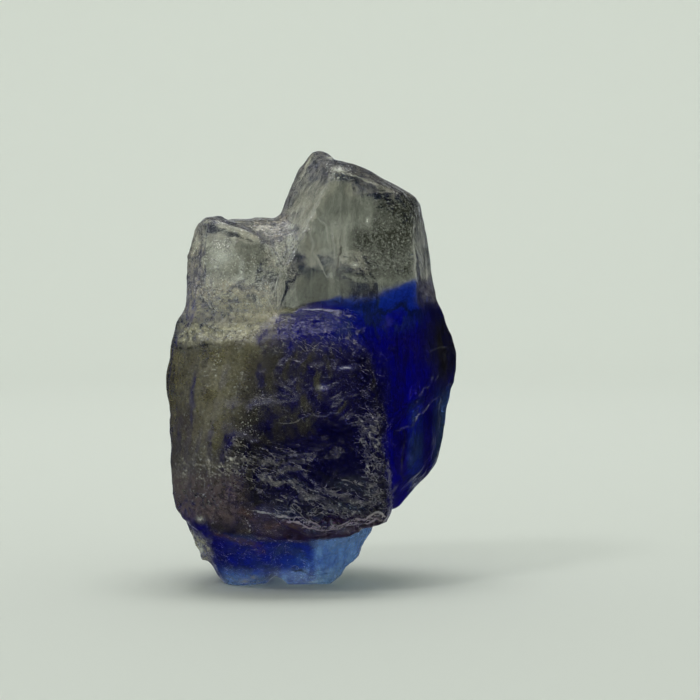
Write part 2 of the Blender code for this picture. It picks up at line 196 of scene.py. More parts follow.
RUST_LINES = (
    ((-3.2, 4.1), (-2.8, 3.7), (-2.6, 3.4)), ((-2.0, 3.35), (-1.1, 3.3), (-0.2, 3.1)),
    ((-4.4, 2.8), (-3.4, 2.4), (-2.4, 2.2)), ((-2.9, 2.4), (-2.2, 1.7)),
)
DOTS = (
    (-3.54, 15.0), (-2.46, 14.2), (1.78, 2.24), (2.4, 2.3), (1.24, 1.0), (-3.0, 16.2),
    (-4.75, 14.3),
)
FROST_WAVES = (
    ((-4.7, 6.2), (-2.8, 6.4), (-0.8, 6.0), (0.56, 5.1), (1.9, 4.5), (3.2, 4.4)),
    ((-2.2, 5.6), (-0.6, 5.2), (0.8, 4.2), (2.4, 3.9)),
    ((-3.4, 7.3), (-1.8, 6.9), (-0.2, 6.7), (1.4, 5.4), (3.0, 5.2)),
)
FAINT_WAVES = (
    ((-1.2, 11.0), (0.2, 10.6), (1.2, 10.9)),
    ((-0.5, 8.45), (0.6, 8.55), (1.7, 8.3)),
    ((0.2, 6.6), (1.2, 6.3), (2.3, 6.0)),
    ((1.2, 12.2), (2.2, 11.2), (2.4, 10.2)),
)


def even_copy(node):
    """The CAD node's surface as an evenly meshed copy, in millimetres."""
    mesh = node.data.copy()
    mesh.transform(Matrix.Scale(1.0 / MM, 4))
    shape = bmesh.new()
    shape.from_mesh(mesh)
    bmesh.ops.remove_doubles(shape, verts=shape.verts, dist=1e-4)
    shape.to_mesh(mesh)
    shape.free()
    helper = bpy.data.objects.new("helper", mesh)
    bpy.context.scene.collection.objects.link(helper)
    even = helper.modifiers.new("even", "REMESH")
    even.mode = "VOXEL"
    even.voxel_size = VOXEL
    bpy.context.view_layer.update()
    graph = bpy.context.evaluated_depsgraph_get()
    result = bpy.data.meshes.new_from_object(helper.evaluated_get(graph))
    bpy.data.objects.remove(helper, do_unlink=True)
    return result


def keep_largest(mesh):
    """Removes specks that the even meshing leaves loose."""
    shape = bmesh.new()
    shape.from_mesh(mesh)
    left = set(shape.verts)
    pieces = []
    while left:
        start = next(iter(left))
        found = {start}
        waiting = [start]
        while waiting:
            for edge in waiting.pop().link_edges:
                for vertex in edge.verts:
                    if vertex not in found:
                        found.add(vertex)
                        waiting.append(vertex)
        pieces.append(found)
        left -= found
    pieces.sort(key=len)
    specks = [vertex for piece in pieces[:-1] for vertex in piece]
    bmesh.ops.delete(shape, geom=specks, context="VERTS")
    shape.to_mesh(mesh)
    shape.free()


def points_of(mesh):
    flat = np.empty(len(mesh.vertices) * 3, np.float32)
    mesh.vertices.foreach_get("co", flat)
    return flat.reshape(-1, 3).astype(np.float64)


def normals_of(mesh):
    flat = np.empty(len(mesh.vertices) * 3, np.float32)
    mesh.vertex_normals.foreach_get("vector", flat)
    return flat.reshape(-1, 3).astype(np.float64)


def put_points(mesh, points):
    mesh.vertices.foreach_set("co", points.astype(np.float32).ravel())
    mesh.update()


def relax(mesh, points, rounds, strength):
    """Moves each point towards the mean of its neighbours. Each point can have its own strength."""
    ends = np.empty(len(mesh.edges) * 2, np.int32)
    mesh.edges.foreach_get("vertices", ends)
    ends = ends.reshape(-1, 2)
    count = np.bincount(ends.ravel(), minlength=len(points))[:, None]
    for _ in range(rounds):
        total = np.zeros_like(points)
        np.add.at(total, ends[:, 0], points[ends[:, 1]])
        np.add.at(total, ends[:, 1], points[ends[:, 0]])
        points = points + strength * (total / count - points)
    return points


def regions(points, normals):
    """Shares from 0 to 1 that say which part of the stone each point belongs to."""
    x, y, z = points.T
    front = fade(-normals[:, 1], -0.1, 0.4)
    lobe = fade(-y, 3.3, 4.2) * fade(3.95 - x, 0.0, 0.5)
    lobe = lobe * fade(z, 2.4, 2.9) * fade(12.5 - z, 0.0, 0.7)
    lobe_right = lobe * fade(x, -3.2, -1.4)
    peak = fade(z, 13.2, 14.4) * fade(x, -1.8, -1.0)
    left_lobe = fade(z, 12.4, 13.2) * fade(-x, 1.3, 2.0)
    right = fade(x, 2.8, 3.8) * fade(z, 3.6, 4.6) * (1.0 - peak) * (1.0 - lobe)
    wedge = fade(3.0 - z, 0.0, 0.5)
    back = fade(normals[:, 1], 0.1, 0.6) * fade(z, 2.8, 3.6)
    rim = fade(-normals[:, 0], 0.7, 0.95) * fade(z, 3.2, 4.0) * fade(12.6 - z, 0.0, 1.0)
    facing = fade(-normals[:, 1], 0.3, 0.55)
    level = fade(normals[:, 2], 0.45, 0.8)
    return {
        "front": front,
        "lobe": lobe,
        "lobe_right": lobe_right,
        "peak": peak,
        "left_lobe": left_lobe,
        "right": right,
        "wedge": wedge,
        "back": back,
        "rim": rim,
        "facing": facing,
        "level": level,
    }


def fine_relief(points, normals, part):
    """Fine height in millimetres along the surface normal."""
    upright = np.abs(normals[:, 2])
    side = fade(0.75 - upright, 0.0, 0.3)
    height = 0.022 * rough_grain(points, (1.6, 1.6, 1.6), 3, (3.1, 7.7, 1.3))
    growth = grain(points, (3.4, 3.4, 0.28), (1.0, 2.0, 3.0))
    growth += 0.6 * grain(points, (7.5, 7.5, 0.5), (9.0, 4.0, 2.0))
    height += 0.022 * side * growth * np.maximum(part["peak"], 0.8 * part["right"])
    height += 0.03 * side * growth * part["back"]
    broken = ridged(points, (-0.42, 0.1, -0.9), 0.62, 1.5, 0.55, (5.0, 5.0, 5.0))
    crumbs = rough_grain(points, (2.6, 2.6, 2.6), 3, (0.3, 8.1, 4.4))
    height += part["lobe_right"] * (0.05 * (broken - 0.4) + 0.045 * crumbs)
    height += (part["lobe"] - part["lobe_right"]) * 0.035 * crumbs
    for line in FROST_WAVES + FAINT_WAVES:
        crest = np.exp(-((chain_distance(points, line) / 0.16) ** 2))
        height += 0.06 * crest * part["lobe"] * (0.6 + crumbs)
    lips = np.exp(-((chain_distance(points, LOBE_FOOT) / 0.3) ** 2)) * part["front"]
    height += 0.05 * lips * crumbs * fade(-points[:, 1], 3.0, 3.8)
    height += 0.03 * part["left_lobe"] * crumbs + 0.035 * part["wedge"] * crumbs
    keep_flat = fade(points[:, 2], 0.05, 0.35)
    return height * keep_flat


def on_line(points, line, width):
    """1 along a chain of x, z points, fading over the width."""
    return np.exp(-((chain_distance(points, line) / width) ** 2))


def line_side(points, lines):
    """Distance to the nearest line, below zero on its right-hand side, from 0 to 1 around 0.5."""
    flat = points[:, [0, 2]]
    best = np.full(len(points), NO_DISTANCE)
    for line in lines:
        for start, end in zip(line, line[1:]):
            start = np.array(start)
            run = np.array(end) - start
            gap = flat - start
            along = np.clip((gap @ run) / (run @ run), 0.0, 1.0)
            side = np.where(run[0] * gap[:, 1] - run[1] * gap[:, 0] < 0.0, -1.0, 1.0)
            away = side * np.linalg.norm(gap - along[:, None] * run, axis=1)
            best = np.where(np.abs(away) < np.abs(best), away, best)
    return 0.5 + best


def wandering(points):
    """The same points, pushed about a little, so that lines drawn with them aren't straight."""
    moved = points.copy()
    moved[:, 0] += 0.24 * rough_grain(points, (0.9, 0.9, 0.9), 3, (2.0, 9.0, 5.0))
    moved[:, 2] += 0.24 * rough_grain(points, (0.9, 0.9, 0.9), 3, (7.0, 1.0, 4.0))
    return moved


def patch(points, left, right, low, high, soft):
    """1 inside a rectangle of the front view, fading at its edges."""
    x, _, z = points.T
    across = fade(x, left - soft, left + soft) * fade(-x, -right - soft, -right + soft)
    return across * fade(z, low - soft, low + soft) * fade(-z, -high - soft, -high + soft)


def face(points, corners, soft):
    """1 inside a flat face with straight sides, given by its x, z corners going anticlockwise."""
    x, _, z = points.T
    share = np.ones(len(points))
    for (x0, z0), (x1, z1) in zip(corners, corners[1:] + corners[:1]):
        length = math.hypot(x1 - x0, z1 - z0)
        inward = ((x1 - x0) * (z - z0) - (z1 - z0) * (x - x0)) / length
        share *= fade(inward, -soft, soft)
    return share


def dab(points, x, z, width, height):
    """A soft oval spot of the front view."""
    return np.exp(-(((points[:, 0] - x) / width) ** 2) - ((points[:, 2] - z) / height) ** 2)


def most(layers):
    return np.maximum.reduce(list(layers))


def colour_masks(points, part):
    """Where each body colour shows, from the place in the stone, with painted light and painted
    shade on facets of the clear top and a milky layer that is partly painted backlight.
    """
    x, y, z = points.T
    ripple = rough_grain(points, (0.55, 0.55, 0.55), 3, (4.0, 0.5, 2.5))
    # The colour changes at a slanting plane, lower on the left.
    border = z - (12.95 + 0.27 * (x + 1.6)) + 0.1 * ripple
    bent = wandering(points)
    blue = 1.0 - fade(border, -0.75, 0.45)
    # The smoky zone reaches further to the right at the back, where it is seen through the stone.
    smoky = fade(0.2 * np.maximum(y, 0.0) - x - 0.3 * (9.0 - z), 1.7, 3.7)
    smoky = smoky * fade(z, 3.4, 5.2) * fade(14.0 - z, 0.0, 1.5)
    dusk = part["lobe"] * fade(x + 0.45 * (10.5 - z), -4.2, -1.6) * fade(12.2 - z, 0.0, 1.2)
    uneven = 0.7 * ripple + 0.15 * y
    slant = z + uneven - 0.35 * (y + 2.0)
    steep = fade(x + uneven, 4.9, 6.2) * fade(slant, 8.3, 10.3) * fade(14.0 - slant, 0.0, 2.2)
    steep = steep * (1.0 - 0.7 * fade(y, -0.5, 3.0))
    below_ledge = fade(9.4 - slant, 0.0, 1.6) * fade(z + uneven, 3.9, 5.4)
    below_ledge = below_ledge * (1.0 - 0.8 * fade(y, 0.0, 3.0))
    right_bands = (0.35 * fade(x, 4.5, 4.7) * fade(5.4 - x, 0.0, 0.3), 0.8 * fade(x, 5.7, 6.3))
    right_low = most(right_bands) * below_ledge
    murk = part["lobe"] * patch(points, -3.8, 1.8, 8.4, 11.8, 0.8)
    plum = part["front"] * patch(points, -2.6, 3.6, 2.5, 3.7, 0.2) * fade(-y, 2.0, 3.0)
    patch_left = part["front"] * patch(points, -3.9, -2.5, 2.4, 3.6, 0.3)
    wedge_left = patch(points, -4.6, -2.2, -0.5, 1.0, 0.4)
    below_border = fade(border, -2.6, -0.4) * fade(x, 0.0, 2.6) * fade(5.8 - x, 0.0, 1.2)
    wedge = fade(3.0 - z, 0.0, 2.0) * fade(x, -5.0, 0.5)
    # Painted light: facets, ripples and the top bevel of the clear part made lighter where light
    # falls on them.
    light = most((
        fade(x, 4.6, 4.9) * fade(z, 14.0, 14.6),
        fade(-x - 0.46 * (18.4 - z), -0.35, 0.0) * fade(z, 15.6, 16.4),
        0.6 * patch(bent, -4.9, -3.5, 15.2, 16.4, 0.3),
        0.2 * face(points, BLOCK_FACET, 0.15),
        0.95 * patch(points, -2.2, -0.6, 15.2, 17.6, 0.4),
        0.5 * patch(points, -0.6, 2.6, 15.2, 15.8, 0.3),
        0.9 * patch(points, -3.4, -1.2, 16.5, 17.9, 0.4),
        0.75 * patch(points, -4.8, -1.4, 12.9, 14.9, 0.4),
        0.8 * patch(points, -6.4, -5.0, 12.9, 17.6, 0.2),
        0.7 * face(points, TOP_BEVEL, 0.15),
    ))
    pale = most((
        patch(points, 0.2, 9.0, -1.0, 2.9, 0.4),
        0.7 * patch(points, -4.2, -2.2, -1.0, 0.8, 0.3),
    ))
    glow = most((
        patch(points, -1.9, 1.5, -1.0, 0.75, 0.25),
        patch(points, -4.2, -2.2, -1.0, 0.45, 0.25),
    ))
    shade = most(strength * face(points, corners, 0.12) for strength, corners in SHADED_FACES)
    return {
        "blue": blue,
        "smoky": smoky,
        "dusk": np.maximum(dusk, steep),
        "bright": most((right_low, 0.8 * wedge_left, 0.62 * below_border, wedge, 0.7 * patch_left)),
        "murk": murk,
        "plum": plum,
        "pale": pale,
        # A milky sky-blue layer on the wedge front: partly the stone's milkiness, partly painted
        # backlight.
        "milk_and_backlight": pale * part["front"] * (1.0 - plum),
        "glow": glow,
        "light": light,
        "clear": fade(border, -0.2, 0.3),
        "shade": part["front"] * shade,
    }


def surface_masks(points, part):
    """Where the surface is frosted, crusted, stained or speckled, and where painted highlights,
    painted reflections and painted shade lines lie on it.
    """
    front = part["front"]
    bent = wandering(points)
    ragged = fade(rough_grain(points, (2.2, 2.2, 2.2), 3, (8.0, 3.5, 6.5)), -0.9, 0.35)
    patchy = fade(rough_grain(points, (0.9, 0.9, 0.9), 3, (5.0, 8.0, 2.5)), -0.6, 0.3)
    hollow = most((
        patch(bent, -3.2, 1.9, 6.9, 8.2, 0.35),
        patch(bent, 0.2, 2.3, 5.3, 6.9, 0.35),
    ))
    frost = most((
        most(on_line(bent, line, 0.26) for line in FROST_WAVES) * (0.5 + 0.5 * ragged),
        0.5 * most(on_line(bent, line, 0.2) for line in FAINT_WAVES) * ragged,
        0.8 * on_line(bent, LOBE_RIGHT_EDGE, 0.2) * (0.3 + 0.7 * ragged)
        * fade(9.4 - points[:, 2], 0.0, 1.0),
        0.75 * patch(bent, 1.9, 3.5, 3.8, 8.8, 0.5) * (0.6 + 0.4 * patchy),
        0.6 * patch(bent, -6.4, 0.0, 5.0, 7.0, 0.5) * (0.6 + 0.4 * patchy),
        0.62 * patch(bent, -1.6, 3.3, 3.6, 5.6, 0.5) * (0.6 + 0.4 * patchy),
        0.42 * patch(bent, -1.8, 2.4, 11.0, 13.3, 0.5) * (0.4 + 0.6 * patchy),
        0.85 * most(on_line(bent, line, 0.1) for line in LIP_LINES) * (0.4 + 0.6 * ragged),
        0.26 * part["lobe_right"] * (1.0 - 0.6 * patch(bent, -2.4, 2.0, 8.2, 11.2, 0.4)),
        0.22 * part["lobe"] * patchy,
        0.25 * part["wedge"] * fade(0.5 - points[:, 0], 0.0, 1.0),
    ))
    frost = frost * (1.0 - 0.8 * hollow) * (1.0 - 0.85 * part["level"])
    crust = most((
        patch(bent, -6.3, -2.3, 11.75, 12.75, 0.25),
        patch(bent, -6.2, -4.9, 1.0, 2.5, 0.25),
        0.5 * patch(bent, -5.9, -4.9, 12.9, 13.9, 0.3),
        0.55 * patch(bent, -5.0, -1.9, 12.7, 14.0, 0.4),
        0.3 * patch(bent, -5.0, -3.6, 8.0, 11.6, 0.5) * patchy,
    ))
    stain = most((
        patch(bent, -6.7, -3.2, 3.4, 5.8, 0.5),
        0.5 * patch(bent, -3.4, -1.4, 2.9, 4.2, 0.3),
        0.5 * patch(bent, -5.9, -4.9, 12.6, 14.0, 0.3),
        0.45 * patch(bent, -6.6, -5.3, 6.2, 8.5, 0.5),
    ))
    rust = most(on_line(bent, line, 0.1) for line in RUST_LINES)
    # Partly a whitish veil on the stone and partly painted light: lighter facets, and painted
    # highlights along the main ridge and the left rim.
    veil_and_highlight = most((
        0.8 * patch(bent, -3.6, -0.9, 16.5, 18.0, 0.3),
        0.75 * patch(bent, -6.6, -5.0, 12.8, 17.6, 0.2),
        0.2 * patch(bent, -5.0, -1.6, 12.8, 17.6, 0.4) * patchy,
        0.5 * patch(bent, -5.0, -3.0, 16.6, 17.6, 0.2) * (0.5 + 0.5 * ragged),
        0.9 * patch(bent, -6.2, -1.5, 12.7, 14.7, 0.4),
        0.7 * patch(bent, -2.2, -0.7, 15.0, 17.0, 0.3),
        0.2 * patch(bent, -5.2, -3.8, 7.0, 11.6, 0.4) * patchy,
        0.3 * patch(bent, -1.4, 1.4, 14.4, 17.2, 0.5) * patchy,
        0.4 * patch(bent, -0.9, 2.6, 15.2, 15.9, 0.2),
        0.7 * patch(bent, 1.6, 4.4, 18.7, 19.5, 0.2) * (0.4 + 0.6 * ragged),
        0.5 * patch(bent, 5.2, 6.4, 13.6, 15.2, 0.4),
        0.5 * fade(-bent[:, 0] - 0.46 * (18.4 - bent[:, 2]), -0.35, 0.0)
        * fade(bent[:, 2], 16.8, 17.4),
        0.85 * patch(bent, -6.3, -4.9, 1.0, 2.5, 0.25),
        0.6 * face(bent, TOP_BEVEL, 0.15) * (0.4 + 0.6 * ragged),
    ))
    # Painted highlights along the main ridge and on the left rim.
    ridge = on_line(bent, FACET_EDGE_HIGHLIGHTS[0][1], 0.3)
    veil_and_highlight = np.maximum(np.maximum(veil_and_highlight, 0.75 * ridge) * front, 0.12 * part["rim"] * ragged)
    speck = most((
        patch(bent, 3.0, 5.0, 16.4, 19.1, 0.4) * (0.4 + 0.6 * patchy),
        patch(bent, 1.9, 4.8, 14.8, 17.1, 0.4) * (0.5 + 0.5 * patchy),
        0.6 * patch(bent, 1.2, 3.4, 19.7, 20.5, 0.15),
        0.6 * patch(bent, 2.9, 3.9, 18.4, 19.4, 0.2),
        # Dark mottling, and partly painted shade in the gully at the lower left.
        0.6 * patch(bent, -6.6, -5.4, 6.4, 8.5, 0.4),
        0.25 * patch(bent, -4.6, -1.6, 12.8, 17.0, 0.4) * patchy,
    ))
    # Painted highlights along facet edges and the lip, which also mark where the relief steps.
    facet_edge_highlight = most(strength * on_line(bent, line, 0.3) for strength, line in FACET_EDGE_HIGHLIGHTS) * part["facing"]
    lip_highlight = most(on_line(bent, line, 0.3) for line in LIP_LINES)
    dark = most(on_line(bent, line, 0.3) for line in DARK_LINES) * (0.4 + 0.6 * ragged)
    dots = most(dab(points, x, z, 0.1, 0.1) for x, z in DOTS)
    # Painted highlights: bright spots and a broken line along the main ridge.
    glint = most(dab(points, *spot) for spot in GLINTS)
    glint = np.maximum(glint, 0.6 * on_line(bent, FACET_EDGE_HIGHLIGHTS[0][1], 0.15) * (0.5 + 0.5 * ragged))
    # Painted highlights: fine sparkling dots.
    sparkle = most((
        0.6 * part["lobe"] * (1.0 - part["lobe_right"]) * patchy,
        0.9 * patch(bent, -4.6, -4.1, 9.8, 11.6, 0.15),
        0.8 * part["left_lobe"] * patchy,
        0.5 * speck,
        0.55 * frost,
        crust,
        0.9 * patch(bent, 0.6, 2.0, 19.5, 20.4, 0.2),
        0.7 * patch(bent, -2.2, -0.6, 15.2, 17.3, 0.3),
    ))
    layers = {
        "frost": frost,
        "crust": crust,
        "stain": stain,
        "rust": rust,
        "speck": speck,
        "facet_edge_highlight": np.maximum(facet_edge_highlight * (0.5 + 0.5 * ragged), lip_highlight),
        "dark": dark,
        "dots": dots,
        "glint": glint,
        "sparkle": sparkle,
    }
    layers = {name: values * front for name, values in layers.items()}
    # Painted reflections: crinkled bright lines on the clear facets.
    layers["crinkle_reflection"] = front * most((
        dab(bent, -4.15, 15.8, 0.6, 0.6),
        0.85 * dab(bent, -1.5, 16.0, 0.6, 1.1),
        0.8 * dab(bent, -2.4, 14.6, 0.7, 0.9),
        0.8 * dab(bent, 1.5, 20.1, 0.6, 0.4),
        0.4 * dab(bent, -4.4, 13.4, 1.2, 0.7),
        0.35 * dab(bent, 3.5, 15.6, 1.6, 0.5),
        0.45 * dab(bent, 0.4, 17.0, 1.0, 0.5),
    ))
    layers["chips"] = front * most((
        speck,
        0.9 * patch(bent, -4.8, -3.4, 15.2, 16.5, 0.3),
        0.8 * patch(bent, -2.4, -0.8, 14.9, 17.2, 0.3),
        0.7 * patch(bent, -2.2, 2.4, 11.2, 13.0, 0.3),
        0.5 * patch(bent, -5.2, -1.6, 12.6, 14.4, 0.4),
    ))
    layers["facet_edge_side"] = line_side(bent, [line for _, line in FACET_EDGE_HIGHLIGHTS] + list(LIP_LINES))
    layers["dark_side"] = line_side(bent, DARK_LINES)
    layers["veil_and_highlight"] = veil_and_highlight
    crumbly = most((part["lobe"], 0.7 * part["wedge"], 0.35 * part["left_lobe"], crust))
    layers["broken"] = 0.22 + 0.78 * crumbly
    return layers


def build_stone(node):
    mesh = even_copy(node)
    keep_largest(mesh)
    points = relax(mesh, points_of(mesh), SMOOTH_ROUNDS, 0.5)
    foot = points[:, 2] < 0.06
    points[foot, 2] = np.minimum(points[foot, 2], 0.0)
    put_points(mesh, points)
    # The clear top shows its own back, so the steps there are worn down.
    normals = normals_of(mesh)
    height = points[:, 2]
    worn = fade(normals[:, 1], -0.1, 0.3) * fade(height, 12.6, 13.8) * fade(20.2 - height, 0.0, 1.0)
    points = relax(mesh, points, WEAR_ROUNDS, 0.5 * worn[:, None])
    put_points(mesh, points)
    normals = normals_of(mesh)
    part = regions(points, normals)
    points = points + normals * fine_relief(points, normals, part)[:, None]
    low = np.array(CAD_BOX[0]) / MM
    high = np.array(CAD_BOX[1]) / MM
    points = np.clip(points, low - OUTSIDE_CAD, high + OUTSIDE_CAD)
    points[:, 2] = np.maximum(points[:, 2], 0.0)
    put_points(mesh, points)
    normals = normals_of(mesh)
    part = regions(points, normals)
    layers = {**colour_masks(points, part), **surface_masks(points, part)}
    for name, values in layers.items():
        layer = mesh.attributes.new(name, "FLOAT", "POINT")
        layer.data.foreach_set("value", np.clip(values, 0.0, 1.0).astype(np.float32))
    mesh.transform(Matrix.Scale(MM, 4))
    mesh.polygons.foreach_set("use_smooth", [True] * len(mesh.polygons))
    mesh.update()
    mesh.materials.clear()
    mesh.name = "stone"
    stone = bpy.data.objects.new("stone", mesh)
    bpy.context.scene.collection.objects.link(stone)
    return stone


class Nodes:
    """Short calls for building one material's nodes."""

    def __init__(self, material):
        self.tree = material.node_tree
        self.shader = self.tree.nodes["Principled BSDF"]

    def add(self, kind, **settings):
        node = self.tree.nodes.new(kind)
        for name, value in settings.items():
            setattr(node, name, value)
        return node

    def join(self, output, target):
        self.tree.links.new(output, target)

    def put(self, value, target):
        """A number goes on the socket, and an output is linked to it."""
        if isinstance(value, bpy.types.NodeSocket):
            self.join(value, target)
        else:
            target.default_value = value

    def mask(self, name):
        return self.add("ShaderNodeAttribute", attribute_name=name).outputs["Fac"]

    def math(self, operation, first, second=0.0, third=0.0, clamp=False):
        node = self.add("ShaderNodeMath", operation=operation, use_clamp=clamp)
        for value, target in zip((first, second, third), node.inputs):
            self.put(value, target)
        return node.outputs[0]

    def mix(self, share, first, second):
        """Colour from first to second by the share."""
        node = self.add("ShaderNodeMix", data_type="RGBA")
        self.put(share, node.inputs["Factor"])
        colours = [entry for entry in node.inputs if entry.type == "RGBA"]
        self.put(first, colours[0])
        self.put(second, colours[1])
        return [entry for entry in node.outputs if entry.type == "RGBA"][0]

    def scaled(self, colour, factor):
        """The colour times a number."""
        node = self.add("ShaderNodeVectorMath", operation="SCALE")
        self.join(colour, node.inputs["Vector"])
        self.put(factor, node.inputs["Scale"])
        return node.outputs["Vector"]

    def noise(self, place, scale, detail=3.0, roughness=0.55, distortion=0.0):
        node = self.add("ShaderNodeTexNoise")
        self.join(place, node.inputs["Vector"])
        node.inputs["Scale"].default_value = scale
        node.inputs["Detail"].default_value = detail
        node.inputs["Roughness"].default_value = roughness
        node.inputs["Distortion"].default_value = distortion
        return node.outputs["Fac"]

    def combed(self, place, turn, along, across):
        """The place, turned in the front view by an angle in degrees and then stretched."""
        turned = self.add("ShaderNodeMapping")
        self.join(place, turned.inputs["Vector"])
        turned.inputs["Rotation"].default_value = (0.0, math.radians(turn), 0.0)
        return self.stretched(turned.outputs["Vector"], (along, across, across))

    def strokes(self, place, turn, along, across):
        """Short fine strokes on the front, 0 to 1."""
        spread = self.combed(place, turn, along, across)
        return self.ramp(self.noise(spread, 1.0, 3.0, 0.6, 0.4), 0.36, 0.66)

    def folds(self, place, turn, along, across, count, width):
        """1 on thin lines that lie side by side like folds."""
        spread = self.combed(place, turn, along, across)
        level = self.math("MULTIPLY", self.noise(spread, 1.0, 4.0, 0.5, 0.5), count)
        away = self.math("ABSOLUTE", self.math("SUBTRACT", self.math("FRACT", level), 0.5))
        return self.math("SUBTRACT", 1.0, self.ramp(away, 0.0, width))

    def both(self, first, second):
        return self.math("MULTIPLY", first, second)

    def either(self, first, second):
        return self.math("MAXIMUM", first, second)

    def spread_mask(self, name, pattern, low, high):
        """A mask that shows where a pattern is high."""
        return self.both(self.mask(name), self.ramp(pattern, low, high))

    def lines(self, place, scale, width, distortion):
        """1 on thin wandering threads, which follow one level of a noise."""
        level = self.noise(place, scale, 3.0, 0.5, distortion)
        away = self.math("ABSOLUTE", self.math("SUBTRACT", level, 0.5))
        return self.math("SUBTRACT", 1.0, self.ramp(away, 0.0, width))

    def thin_line(self, side, wiggle, shift, width):
        """1 on a thin line where the signed distance is near a value."""
        moved = self.math("ADD", self.math("ADD", side, wiggle), shift - 0.5)
        away = self.math("ABSOLUTE", moved)
        return self.math("SUBTRACT", 1.0, self.ramp(away, 0.3 * width, width))

    def ramp(self, value, low, high):
        node = self.add("ShaderNodeMapRange", interpolation_type="SMOOTHSTEP")
        self.join(value, node.inputs["Value"])
        node.inputs["From Min"].default_value = low
        node.inputs["From Max"].default_value = high
        return node.outputs["Result"]

    def stretched(self, place, scale):
        node = self.add("ShaderNodeMapping")
        self.join(place, node.inputs["Vector"])
        node.inputs["Scale"].default_value = scale
        return node.outputs["Vector"]


CLEAR_GREY = (0.3, 0.3, 0.25, 1.0)
CLEAR_DARK = (0.12, 0.12, 0.1, 1.0)
SHADE = (0.07, 0.072, 0.06, 1.0)
# Painted light on the lighter facets of the clear top.
CLEAR_PAINTED_LIGHT = (0.95, 0.92, 0.8, 1.0)
SMOKY = (0.3, 0.26, 0.13, 1.0)
SMOKY_DARK = (0.14, 0.115, 0.06, 1.0)
SPECK = (0.012, 0.012, 0.008, 1.0)
BLUE = (0.0008, 0.0004, 0.18, 1.0)
BRIGHT_BLUE = (0.012, 0.047, 0.36, 1.0)
NAVY = (0.003, 0.0028, 0.006, 1.0)
MURK = (0.016, 0.0145, 0.012, 1.0)
PLUM = (0.014, 0.004, 0.009, 1.0)
PALE_BLUE = (0.28, 0.52, 1.0, 1.0)
GLOW = (0.5, 0.78, 1.0, 1.0)
CRUST = (0.36, 0.32, 0.16, 1.0)
CRUST_LIGHT = (0.88, 0.83, 0.58, 1.0)
FROST = (0.075, 0.07, 0.082, 1.0)
FROST_WARM = (0.17, 0.15, 0.12, 1.0)
FROST_LIGHT = (0.62, 0.57, 0.5, 1.0)
# Painted highlight along facet edges.
EDGE_HIGHLIGHT = (0.6, 0.58, 0.54, 1.0)
# Painted highlight.
GLINT = (0.9, 0.9, 0.82, 1.0)
PURPLE_BROWN = (0.15, 0.1, 0.1, 1.0)
# Painted highlight along the lip.
LIP_HIGHLIGHT_PINK = (0.55, 0.44, 0.47, 1.0)
# Milky sky blue, partly painted backlight.
SKY = (0.17, 0.4, 1.0, 1.0)
# Partly a whitish veil, partly painted light.
VEIL_AND_HIGHLIGHT = (0.86, 0.75, 0.58, 1.0)
HAZE = (0.036, 0.034, 0.035, 1.0)
RUST = (0.16, 0.06, 0.025, 1.0)


def body_colour(build, place, growth):
    """The colours of the stone: clear grey above, blue below, smoky at the left, with painted light
    and painted shade on facets of the clear top.
    """
    cloud = build.noise(place, 0.55, 3.0, 0.5, 0.6)
    clear = build.mix(build.ramp(growth, 0.4, 0.72), CLEAR_GREY, CLEAR_DARK)
    # Painted light and painted shade on the facets of the clear top.
    clear = build.mix(build.spread_mask("light", growth, 0.85, 0.3), clear, CLEAR_PAINTED_LIGHT)
    clear = build.mix(build.mask("shade"), clear, SHADE)
    deep = build.mix(build.mask("bright"), BLUE, BRIGHT_BLUE)
    streaks = build.math("MULTIPLY_ADD", build.ramp(growth, 0.3, 0.7), 0.25, 0.75)
    deep = build.mix(build.both(build.mask("pale"), streaks), deep, PALE_BLUE)
    deep = build.mix(build.mask("glow"), deep, GLOW)
    smoke = build.noise(place, 0.75, 5.0, 0.65, 0.8)
    smoke = build.mix(build.ramp(smoke, 0.42, 0.62), SMOKY, SMOKY_DARK)
    deep = build.mix(build.mask("smoky"), deep, smoke)
    deep = build.mix(build.mask("dusk"), deep, build.mix(build.mask("murk"), NAVY, MURK))
    deep = build.mix(build.mask("plum"), deep, PLUM)
    # The clouds make the border between clear and blue uneven.
    edge = build.math("ADD", build.mask("blue"), build.math("MULTIPLY_ADD", cloud, 0.3, -0.15))
    return build.mix(build.ramp(edge, 0.12, 0.88), clear, deep)


def frost_share(build, place):
    """How frosted each place is: fine strokes that run down to the right, and thin folded lines."""
    fine = build.strokes(place, -20.0, 2.0, 13.0)
    wide = build.strokes(place, -6.0, 1.4, 8.0)
    steep = build.strokes(place, -66.0, 2.6, 12.0)
    folded = build.either(build.folds(place, -12.0, 0.3, 0.95, 7.0, 0.08),
                          build.folds(place, -30.0, 0.4, 1.4, 5.0, 0.08))
    pattern = build.math("MULTIPLY_ADD", wide, 0.35, build.both(fine, 0.45))
    pattern = build.either(pattern, build.both(steep, 0.5))
    threads = build.math("MULTIPLY_ADD", fine, 0.35, build.both(folded, 0.8))
    pattern = build.either(pattern, threads)
    total = build.math("MULTIPLY_ADD", pattern, 0.9, build.mask("frost"))
    return build.ramp(total, 0.84, 1.5), folded, fine


